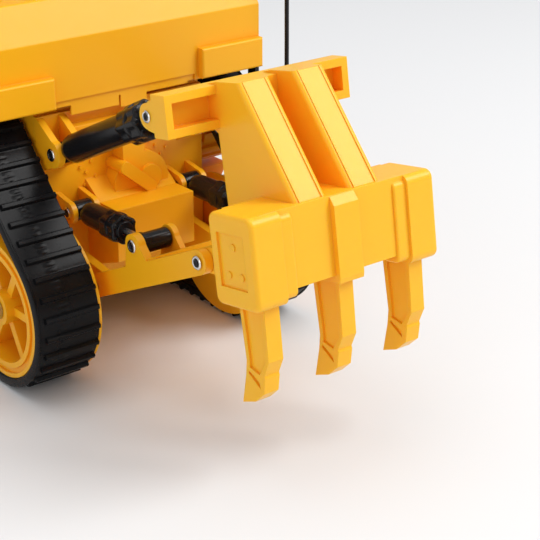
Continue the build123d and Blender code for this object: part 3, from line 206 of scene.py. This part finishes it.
def moulded(name, bright, recess_shade, gloss, glow, edge=0.0004):
    """Self-coloured plastic in a bright colour, with a darker one painted in as shade in its recesses, and
    its edges softened to a radius.
    """
    skin = Shader(
        name,
        IOR=1.46,
        Specular_IOR_Level=0.32,
        Subsurface_Weight=glow,
        Subsurface_Radius=(1.0, 0.35, 0.03),
        Subsurface_Scale=0.004,
    )
    # Painted shade: ambient occlusion blends the colour towards the darker one in recesses and corners.
    body = skin.mix(skin.open_sky(0.016) * 1.3 - 0.1, recess_shade, bright)
    body = skin.mix(skin.noise(38, 2) * 0.14, body, tuple(0.88 * c for c in bright))
    speck = skin.noise(640, 1).over(0.83)
    skin.colour(skin.mix(speck * 0.4, body, (0.2, 0.09, 0.02)))
    scuff = skin.noise(240, 6, 0.7)
    skin.rough(gloss + scuff * 0.14)
    skin.relief(skin.noise(1500, 2) * 0.4 + scuff * 0.6, 0.00002, edge)
    return skin


yellow_shell = moulded("yellow_shell", (0.93, 0.44, 0.008), (0.93, 0.33, 0.004), 0.28, 0.12)
wear(yellow_shell, "chassis_tub", "battery_door", "rear_cover", *both("track_frame"))


# Drive train in the tub: two can motors with nylon pinions and drive gears, a shrink-wrapped battery pack,
# a circuit board on four screwed posts and a slide switch through the floor.
can = Shader("motor_can", Metallic=1.0)
brushed = can.noise(900, 3, vector=can.stretched(1, 0.04, 1))
can.colour(can.mix(brushed, (0.42, 0.42, 0.43), (0.6, 0.6, 0.61)))
can.rough(0.28 + brushed * 0.2)
wear(can, "drive_motors")

nylon = Shader("gear_nylon", Subsurface_Weight=0.3, Subsurface_Scale=0.002)
# Painted shade: ambient occlusion darkens the nylon between its teeth and in its hollows.
nylon.colour(nylon.mix(nylon.open_sky(0.003), (0.62, 0.6, 0.54), (0.84, 0.84, 0.8)))
nylon.rough(0.42 + nylon.noise(300, 3) * 0.1)
wear(nylon, *both("drive_gear", "motor_pinion"))

wrap = Shader("battery_wrap", Coat_Weight=0.4)
wrinkle = wrap.noise(120, 4, vector=wrap.stretched(1, 3, 1))
wrap.colour(wrap.mix(wrinkle, (0.03, 0.07, 0.34), (0.08, 0.13, 0.52)))
wrap.rough(0.25 + wrinkle * 0.15)
wrap.relief(wrinkle, 0.0003)
wear(wrap, "battery_pack")

board = Shader("board_green")
copper = board.noise(260, 1, vector=board.stretched(1, 0.2, 1)).over(0.52)
board.colour(board.mix(copper, (0.012, 0.11, 0.045), (0.03, 0.2, 0.08)))
board.rough(0.3 + board.noise(700, 2) * 0.2)
board.relief(copper, 0.00005)
wear(board, "circuit_board")

gloss_black = Shader("black_plastic", IOR=1.5, Specular_IOR_Level=0.26)
dust = gloss_black.noise(820, 2).over(0.8)
haze = gloss_black.noise(60, 5, 0.6)
black_body = gloss_black.mix(haze, (0.004, 0.004, 0.005), (0.012, 0.012, 0.013))
gloss_black.colour(gloss_black.mix(dust * 0.3, black_body, (0.25, 0.24, 0.22)))
gloss_black.rough(0.14 + haze * 0.16)
gloss_black.relief(gloss_black.noise(420, 3), 0.00004, 0.0003)
wear(gloss_black, "switch_knob")

steel = Shader("steel_rod", Metallic=1.0)
drawn = steel.noise(500, 4)
steel.colour(steel.mix(drawn, (0.4, 0.4, 0.4), (0.62, 0.62, 0.61)))
steel.rough(0.2 + drawn * 0.2)
steel.relief(drawn, 0.00002)
wear(steel, "screws")


# Track belts: one closed band of black rubber each, moulded with a bar across it at every pitch and short
# mould lines beside it. Each is stretched round its sprocket and idlers and stays on the chassis body.
joints = {joint["name"]: joint for joint in frame["record"]["behaviour"]["joints"]}


def joint_place(name):
    """The (x, z) of a hinge's axis."""
    place = joints[name]["pos_m"]
    return np.array((place[0], place[2]))


def grid_faces(rows, columns, close_rows=False, close_columns=False):
    """Quads of a grid of points, wound so that columns then rows turn about the outward side."""
    index = np.arange(rows * columns).reshape(rows, columns)
    if close_rows:
        index = np.concatenate((index, index[:1]))
    if close_columns:
        index = np.concatenate((index, index[:, :1]), 1)
    return np.stack((index[:-1, :-1], index[:-1, 1:], index[1:, 1:], index[1:, :-1]), -1).reshape(-1, 4)


def build(name, parts, shader, body, replaced=(), smooth=35):
    """Joins parts, each its points and its lists of faces, into one object on a body. Faces that meet at
    less than the smooth angle shade as one surface."""
    points, faces, start = [], [], 0
    for part_points, part_faces in parts:
        points.append(np.reshape(part_points, (-1, 3)))
        faces += [face + start for face in part_faces]
        start += len(points[-1])
    points = np.concatenate(points)
    mesh = bpy.data.meshes.new(name)
    mesh.vertices.add(len(points))
    mesh.vertices.foreach_set("co", points.ravel())
    loops = np.concatenate([face.ravel() for face in faces])
    mesh.loops.add(len(loops))
    mesh.loops.foreach_set("vertex_index", loops)
    sizes = np.concatenate([np.full(len(face), face.shape[1]) for face in faces])
    mesh.polygons.add(len(sizes))
    mesh.polygons.foreach_set("loop_start", np.cumsum(sizes) - sizes)
    mesh.update(calc_edges=True)
    mesh.shade_smooth()
    mesh.set_sharp_from_angle(angle=math.radians(smooth))
    mesh.materials.append(shader.material)
    piece = bpy.data.objects.new(name, mesh)
    bpy.context.collection.objects.link(piece)
    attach(piece, body)
    if replaced:
        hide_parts(*replaced)


rubber = Shader("track_rubber", IOR=1.45, Specular_IOR_Level=0.14)
lint = rubber.noise(900, 2).over(0.8)
chalk = rubber.noise(70, 5, 0.65)
band = rubber.mix(chalk, (0.003, 0.003, 0.0035), (0.01, 0.01, 0.011))
rubber.colour(rubber.mix(lint * 0.3, band, (0.3, 0.29, 0.27)))
rubber.rough(0.18 + chalk * 0.2)
rubber.relief(rubber.noise(1300, 4) * 0.7 + chalk, 0.00004)

grouser_height = 0.0011
grouser_count = 69
belt_thick = 0.0041
idler_belt = joint_place("rear_idler_spin_left")[1] - grouser_height
sprocket_belt = 0.026
arc_steps = 160
wheels = (
    (joint_place("rear_idler_spin_left"), idler_belt),
    (joint_place("front_idler_spin_left"), idler_belt),
    (joint_place("sprocket_spin_left"), sprocket_belt),
)


def tangent_angle(first, second):
    """Angle of the outward normal on the straight run from one wheel to the next, anticlockwise round the
    loop. That normal reaches as far past both rims, so its angle from the line of centres is the arc cosine
    of the difference of the radii over the distance between the centres."""
    (near, near_radius), (far, far_radius) = first, second
    gap = far - near
    return math.atan2(gap[1], gap[0]) - math.acos((near_radius - far_radius) / math.hypot(*gap))


def belt_table():
    """Distance travelled, points and outward normals once round the belt's outer face: an arc on each
    wheel, with a straight run to the next where the normal keeps still."""
    normals, points = [], []
    for n, (centre, radius) in enumerate(wheels):
        start = tangent_angle(wheels[n - 1], wheels[n])
        end = tangent_angle(wheels[n], wheels[(n + 1) % len(wheels)])
        angle = start + (end - start) % (2 * math.pi) * np.linspace(0, 1, arc_steps)
        normals.append(np.stack((np.cos(angle), np.sin(angle)), 1))
        points.append(centre + radius * normals[-1])
    points = np.concatenate(points + [points[0][:1]])
    normals = np.concatenate(normals + [normals[0][:1]])
    return np.concatenate(([0], np.cumsum(np.hypot(*np.diff(points, axis=0).T)))), points, normals


def rise(value, edge, soft):
    """A smooth rise from 0 to 1 as a value passes an edge, over a soft width."""
    share = np.clip((value - edge) / soft + 0.5, 0, 1)
    return share * share * (3 - 2 * share)


travelled, belt_points, belt_normals = belt_table()
pitch = travelled[-1] / grouser_count
pitch_steps = 24
around = np.linspace(0, travelled[-1], grouser_count * pitch_steps, endpoint=False)
belt_x, belt_z, normal_x, normal_z = (
    np.interp(around, travelled, column)[:, None] for column in (*belt_points.T, *belt_normals.T)
)
from_bar = np.abs((np.arange(len(around)) % pitch_steps)[:, None] / pitch_steps - 0.5) * pitch
# Across the belt: its share of the width and its depth below the face, out along the face and back inside
face_shares = (0.004, *np.linspace(0.02, 0.86, 15), 0.878, 0.888, 0.9, 0.93, 0.955, 0.975, 0.99)
outer_corner = 0.0005
inner_corner = 0.0004
section = (
    (0, belt_thick - inner_corner),
    (0, outer_corner),
    *((share, 0) for share in face_shares),
    (1, outer_corner),
    (1, belt_thick - inner_corner),
    (0.985, belt_thick),
    (0.5, belt_thick),
    (0.015, belt_thick),
)
across, depth = np.array(section).T
on_face = depth == 0
bar_half = 0.00125
bar_reach = 0.883
bar = rise(-from_bar, -bar_half, 0.0007) * rise(-across, -bar_reach, 0.012)
lip = 0.4 * rise(across, 0.962, 0.02)
seam_across = 0.55
seam_from_bar = 0.0031
seam_line = 0.3 * rise(-np.abs(across - seam_across), -0.012, 0.008)
seam = seam_line * rise(-np.abs(from_bar - seam_from_bar), -0.0009, 0.0004)
groove = 0.0006
raised = np.maximum(np.maximum(bar, lip), seam) * (grouser_height + groove) - groove
height = raised * on_face - depth
for side, word in SIDES:
    low, high = (abs(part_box(f"track_{word}")[end][1]) for end in (0, 1))
    inner, outer = sorted((low, high))
    rows, columns = height.shape
    y = side * (inner + (outer - inner) * across) + np.zeros_like(height)
    grid = np.stack((belt_x + normal_x * height, y, belt_z + normal_z * height), -1)
    quads = grid_faces(rows, columns, True, True)[:, ::side]
    build(f"belt_{word}", [(grid, [quads])], rubber, "chassis", (f"track_{word}",), 32)


# Sprockets and idlers: yellow mouldings, the idlers dished and spoked. The idlers turn on steel axles with
# push-on caps, and each sprocket is pressed on the shaft of its drive gear.
wear(yellow_shell, *both("rear_idler", "front_idler", "sprocket"))
wear(steel, "wheel_axles")


# Pins: plated tubular rivets through the lugs, each with a rolled head outside and a black plug in its
# recess that paints the shade down in the hollow. They are pressed into the rear cover, the hood, the link
# frame, the ripper and the blade.
def turned(profile, origin, way, steps=56, flutes=0, flute_depth=0.0):
    """A turned solid: (radius, distance) pairs along a line from an origin, with a flat cap at both ends.
    A wave of the flute depth runs round it, with as many crests as there are flutes."""
    way = np.array(way, float) / math.hypot(*way)
    first = np.cross(way, (0.0, 1.0, 0.0) if abs(way[1]) < 0.9 else (0.0, 0.0, 1.0))
    first = first / math.hypot(*first)
    angle = np.linspace(0, 2 * math.pi, steps, endpoint=False)
    ring = np.cos(angle)[:, None] * first + np.sin(angle)[:, None] * np.cross(way, first)
    radius, along = np.array(profile, float).T
    radius = radius[:, None] + flute_depth * (np.cos(flutes * angle) - 1) / 2
    points = np.array(origin, float) + along[:, None, None] * way + radius[:, :, None] * ring
    last = (len(profile) - 1) * steps
    order = np.arange(steps)[None]
    return points, [grid_faces(len(profile), steps, False, True), order[:, ::-1], order + last]


def at_y(place, side, y):
    """A point on one side at a distance from the middle plane."""
    return (place[0], side * y, place[1])


shaft_radius = 0.0019
head_rise = 0.0009
rim_share = 0.6


def pin(place, side, start, seat, head):
    """A tubular rivet: its shaft from a start to its seat, and a rolled head with a recess in it."""
    length = seat - start
    inner = head * rim_share
    profile = (
        (shaft_radius, 0),
        (shaft_radius, length),
        (head - 0.0002, length),
        (head, length + 0.0002),
        (head, length + head_rise * 0.55),
        (head - 0.0003, length + head_rise * 0.92),
        ((head + inner) / 2, length + head_rise),
        (inner + 0.0001, length + head_rise * 0.85),
        (inner, length + head_rise * 0.2),
    )
    return turned(profile, at_y(place, side, start), (0, side, 0), 48)


def shade_plug(place, side, seat, head):
    """A black plug filling a pin's recess, painted shade for the hollow of the rivet."""
    inner = head * rim_share - 0.00005
    profile = (
        (inner, 0),
        (inner, 0.00045),
        (inner * 0.8, 0.0006),
        (inner * 0.45, 0.00035),
        (0.0001, 0.00025),
    )
    return turned(profile, at_y(place, side, seat), (0, side, 0), 40)


chrome = Shader("pin_chrome", Metallic=1.0)
tarnish = chrome.noise(700, 4)
chrome.colour(chrome.mix(tarnish, (0.62, 0.61, 0.59), (0.86, 0.86, 0.85)))
chrome.rough(0.08 + tarnish * 0.16)

tilt_lug = joint_place("tilt_swing_left")
lift_lug = joint_place("lift_swing_left")
blade_lug = joint_place("blade_swing_left")
link_pivot = joint_place("ripper_lift")
ripper_pivot = joint_place("ripper_level")
tilt_eye = np.array((-0.138649, 0.141570))
lift_eye = np.array((-0.110950, 0.074700))
blade_eye = np.array((0.176650, 0.062000))
plain_head = 0.003
small_head = 0.0026
# The pins of each CAD node, with its body: place, start and seat from the middle plane, and head radius
pin_sets = {
    "rear_lug_pins": (
        "chassis",
        (
            (tilt_lug, 0.0306, 0.0456, plain_head),
            (lift_lug, 0.0230, 0.0378, plain_head),
            (link_pivot, 0.0305, 0.0391, plain_head),
        ),
    ),
    "hood_pins": ("chassis", ((blade_lug, 0.0310, 0.0450, plain_head),)),
    "link_pins": ("link", ((lift_eye, 0.0173, 0.0388, plain_head),)),
    "ripper_pins": (
        "ripper",
        ((tilt_eye, 0.0310, 0.0474, small_head), (ripper_pivot, 0.0305, 0.0391, plain_head)),
    ),
    "blade_pins": ("blade_frame", ((blade_eye, 0.0346, 0.0474, plain_head),)),
}
for node, (body, rows_here) in pin_sets.items():
    shapes = [pin(place, side, *ends, head) for place, *ends, head in rows_here for side, _ in SIDES]
    # Painted shade: a black plug in each rivet's recess stands in for the shade down in its hollow.
    shade_plugs = [shade_plug(place, side, seat, head) for place, _, seat, head in rows_here for side, _ in SIDES]
    build(f"{node}_turned", shapes, chrome, body, (node,))
    build(f"{node}_cores", shade_plugs, gloss_black, body)


# Cylinders: glossy black mouldings. A barrel swings on its chassis or hood lug, and a lobed, bolted gland
# closes it round a steel rod that ends in a black eye on the ripper, the link frame or the blade.
def round_bar(radius, start, end, corner):
    """Profile of a bar with both its edges rounded by a corner radius."""
    bend = np.linspace(0, math.pi / 2, 7)
    first = [(radius - corner + corner * math.sin(a), start + corner - corner * math.cos(a)) for a in bend]
    last = [(radius - corner + corner * math.cos(a), end - corner + corner * math.sin(a)) for a in bend]
    return first + last


def eye_boss(place, side, y, radius, half):
    """A rounded boss along Y about an (x, z) place."""
    return turned(round_bar(radius, -half, half, radius * 0.16), at_y(place, side, y), (0, side, 0), 56)


def line_from(start, end, side, y):
    """Root, direction and length of a cylinder between two (x, z) places at one y."""
    way = np.array((end[0] - start[0], 0, end[1] - start[1]))
    length = math.hypot(*way)
    return np.array(at_y(start, side, y)), way / length, length


nose_length = 0.0012
band_half = 0.0012
shoulder_base = 0.0045
shoulder_length = 0.006


def barrel(
    name, start, end, side, y, body, radius, gland, gland_start, body_end, eye_radius, eye_half, bolts
):
    """A barrel: eye, tube with a rounded shoulder, lobed gland with bolts right through it, and nose."""
    root, way, _ = line_from(start, end, side, y)
    shoulder = [
        (
            radius * (0.55 + 0.45 * math.sin(angle)),
            shoulder_base + shoulder_length * (1 - math.cos(angle)),
        )
        for angle in np.linspace(0.2, math.pi / 2, 9)
    ]
    into_gland = [(radius, gland_start + 0.001), (radius * 0.8, gland_start + 0.002)]
    cage_end = body_end - nose_length
    band_middle = (gland_start + cage_end) / 2
    band_bar = round_bar(gland * 0.98, band_middle - band_half, band_middle + band_half, 0.0005)
    parts = [
        eye_boss(start, side, y, eye_radius, eye_half),
        turned(shoulder + into_gland, root, way, 72),
        turned(round_bar(gland, gland_start, cage_end, 0.001), root, way, 160, bolts, 0.0009),
        turned(band_bar, root, way, 96),
        turned(round_bar(gland * 0.62, cage_end - 0.001, body_end, 0.0006), root, way, 56),
    ]
    first = np.cross(way, (0, 1, 0))
    for n in range(bolts):
        angle = 2 * math.pi * n / bolts
        out = math.cos(angle) * first + math.sin(angle) * np.array((0, 1, 0))
        bolt = round_bar(gland * 0.14, gland_start - 0.001, cage_end + 0.0008, 0.0005)
        parts.append(turned(bolt, root + out * gland * 0.8, way, 20))
    build(name, parts, gloss_black, body, (name,))


def rod(name, start, end, side, y, body, from_pin, radius, eye_radius, eye_y):
    """A steel rod that runs into a black eye with a rounded collar. The eye lies between two distances
    from the middle plane."""
    root, way, length = line_from(start, end, side, y)
    bar = turned(round_bar(radius, from_pin, length - eye_radius * 0.7, 0.0003), root, way, 40)
    build(name, [bar], steel, body, (name,))
    collar_limits = (length - eye_radius * 1.5, length - eye_radius * 0.4)
    collar = turned(round_bar(radius * 1.9, *collar_limits, 0.0006), root, way, 48)
    boss = eye_boss(end, side, (eye_y[0] + eye_y[1]) / 2, eye_radius, (eye_y[1] - eye_y[0]) / 2)
    build(f"{name}_eye", [collar, boss], gloss_black, body)


tilt_y = 0.0381
lift_y = 0.0304
blade_y = 0.041
for side, word in SIDES:
    barrel(
        f"tilt_barrel_{word}", tilt_lug, tilt_eye, side, tilt_y, f"tilt_cylinder_{word}",
        radius=0.0066, gland=0.0086, gland_start=0.0605, body_end=0.0768,
        eye_radius=0.005, eye_half=0.0039, bolts=8,
    )
    rod(
        f"tilt_rod_{word}", tilt_lug, tilt_eye, side, tilt_y, f"tilt_cylinder_{word}",
        from_pin=0.02, radius=0.0022, eye_radius=0.0046, eye_y=(0.0342, 0.042),
    )
    barrel(
        f"lift_barrel_{word}", lift_lug, lift_eye, side, lift_y, f"lift_barrel_{word}",
        radius=0.0056, gland=0.007, gland_start=0.0242, body_end=0.037,
        eye_radius=0.0046, eye_half=0.0046, bolts=6,
    )
    rod(
        f"lift_rod_{word}", lift_lug, lift_eye, side, lift_y, f"lift_rod_{word}",
        from_pin=0.018, radius=0.0014, eye_radius=0.0046, eye_y=(0.0206, 0.0345),
    )
    barrel(
        f"blade_barrel_{word}", blade_lug, blade_eye, side, blade_y, f"blade_barrel_{word}",
        radius=0.004, gland=0.0052, gland_start=0.0402, body_end=0.048,
        eye_radius=0.0042, eye_half=0.0034, bolts=6,
    )
    rod(
        f"blade_rod_{word}", blade_lug, blade_eye, side, blade_y, f"blade_rod_{word}",
        from_pin=0.0406, radius=0.0018, eye_radius=0.0044, eye_y=(0.0375, 0.0445),
    )


# Body: the housing over the tracks, the hood with its grille, and the cab with its roof, all moulded in the
# same yellow, with clear panes and lamp lenses. The seat, the exhaust and the aerial are glossy black.
wear(yellow_shell, "body_shell", "hood_shell", "grille", "cab_frame", "cab_roof")
wear(gloss_black, "aerial_base", "aerial_whip", "exhaust_stack", "seat")
pane = Shader("window_glass", Transmission_Weight=1.0, IOR=1.46)
smear = pane.noise(45, 5, 0.7)
pane.colour(pane.mix(smear, (0.78, 0.86, 0.88), (0.9, 0.95, 0.96)))
pane.rough(0.02 + smear * 0.12)
wear(pane, "cab_windows", "lamp_lenses")


# Blade: a curved board between end plates on two push arms, moulded in the same yellow. The arms turn on
# trunnions of the track frames, and a steel cutting edge runs along the board's foot.
wear(yellow_shell, "blade", *both("push_arm"))
wear(steel, "cutting_edge")


# Ripper: a frame with three shanks through it, moulded in a brighter, slightly translucent yellow, with a
# deeper orange painted in as shade in its recesses. It hangs on the tilt cylinders and a link frame, which
# is moulded like the chassis.
wear(yellow_shell, "link_frame")
yellow_ripper = moulded("yellow_ripper", (0.98, 0.5, 0.02), (0.98, 0.36, 0.008), 0.24, 0.3)
wear(yellow_ripper, "ripper_frame", "shank_centre", *both("shank"))
